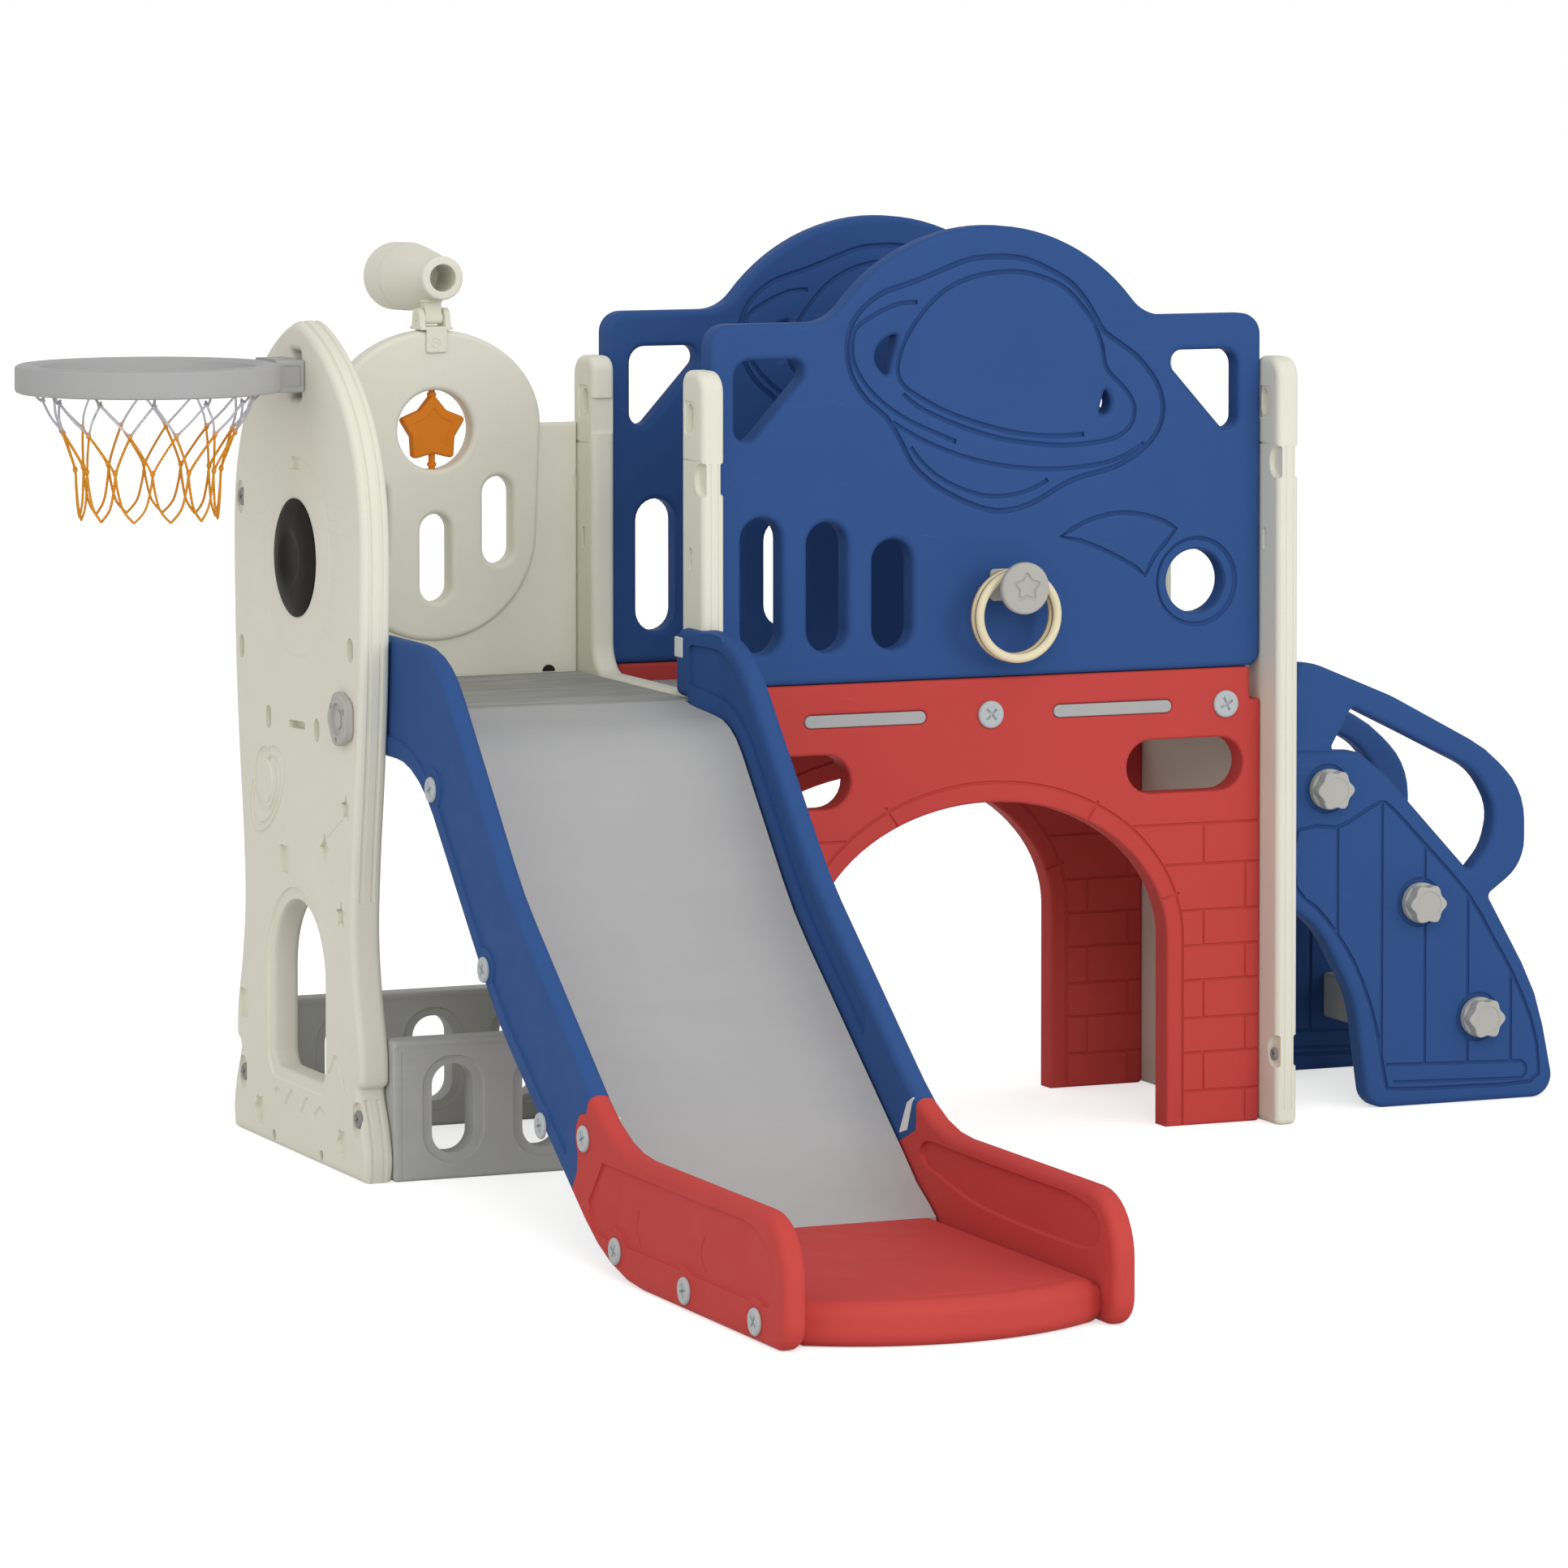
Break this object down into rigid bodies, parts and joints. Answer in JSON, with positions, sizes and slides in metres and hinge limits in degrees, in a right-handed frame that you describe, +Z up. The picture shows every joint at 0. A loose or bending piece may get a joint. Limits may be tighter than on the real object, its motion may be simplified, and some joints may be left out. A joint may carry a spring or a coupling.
{
  "type": "slide and climber set",
  "caption": "Children's play set: slide and platform beside a rocket-shaped panel with a net hoop, a bridge over an arch tunnel, and a stepped climber.",
  "frame": {"origin": "middle of the set's footprint, on the floor", "axes": "+X along the bridge towards the climber, +Y away from the slide's exit, +Z up"},
  "size_m": [2.1016, 1.823, 1.2],
  "materials": {
    "cream_plastic": "fine matt moulded texture",
    "blue_plastic": "fine matt moulded texture",
    "red_plastic": "fine matt moulded texture",
    "grey_plastic": "satin moulded texture",
    "dark_grey_plastic": "satin moulded texture",
    "smoke_plastic": "glossy dark window",
    "orange_plastic": "satin moulded",
    "pale_plastic": "satin moulded",
    "ring_plastic": "satin, cream and gold",
    "net_cord": "knotted cord, white above and orange below"
  },
  "bodies": {
    "frame": {"left_panel": "cream_plastic", "porthole_dome": "smoke_plastic", "slide_cap": "pale_plastic", "back_panel": "cream_plastic", "telescope_bracket": "cream_plastic", "platform": "grey_plastic", "front_board": "dark_grey_plastic", "back_board": "dark_grey_plastic", "mid_column": "cream_plastic", "right_column": "cream_plastic", "front_guard_panel": "blue_plastic", "back_guard_panel": "blue_plastic", "front_arch_panel": "red_plastic", "back_arch_panel": "red_plastic", "bridge_floor": "grey_plastic", "left_upper_rail": "blue_plastic", "right_upper_rail": "blue_plastic", "left_lower_rail": "red_plastic", "right_lower_rail": "red_plastic", "slide_chute": "grey_plastic", "slide_exit": "red_plastic", "front_climber_side": "blue_plastic", "back_climber_side": "blue_plastic", "climber_step_1": "grey_plastic", "climber_step_2": "grey_plastic", "climber_step_3": "grey_plastic", "hoop_ring": "grey_plastic", "hoop_net": "net_cord", "ring_peg": "pale_plastic", "front_knob_1": "pale_plastic", "front_knob_2": "pale_plastic", "front_knob_3": "pale_plastic", "back_knob_1": "pale_plastic", "back_knob_2": "pale_plastic", "back_knob_3": "pale_plastic", "upper_rail_screw_1": "pale_plastic", "arch_screw_1": "pale_plastic", "upper_rail_screw_2": "pale_plastic", "arch_screw_2": "pale_plastic", "upper_rail_screw_3": "pale_plastic", "arch_screw_3": "pale_plastic", "lower_rail_screw_1": "pale_plastic", "lower_rail_screw_2": "pale_plastic", "lower_rail_screw_3": "pale_plastic", "lower_rail_screw_4": "pale_plastic"},
    "star": {"star_spinner": "orange_plastic"},
    "telescope": {"telescope_barrel": "cream_plastic"},
    "ring_near_panel": {"toss_ring_1": "ring_plastic"},
    "ring_near_cap": {"toss_ring_2": "ring_plastic"}
  },
  "joints": [
    {"name": "star_spin", "type": "hinge", "parent": "frame", "child": "star", "pos_m": [-0.43776, 0.76904, 0.926], "axis": [0, 0, 1], "continuous": true},
    {"name": "telescope_tilt", "type": "hinge", "parent": "frame", "child": "telescope", "pos_m": [-0.43776, 0.76904, 1.0738], "axis": [1, 0, 0], "range_deg": [-25, 25]},
    {"name": "near_ring_swing", "type": "hinge", "parent": "frame", "child": "ring_near_panel", "pos_m": [0.21324, 0.34454, 0.73], "axis": [0, 1, 0], "range_deg": [-60, 60]},
    {"name": "far_ring_swing", "type": "hinge", "parent": "frame", "child": "ring_near_cap", "pos_m": [0.21324, 0.33104, 0.73], "axis": [0, 1, 0], "range_deg": [-60, 60]}
  ]
}
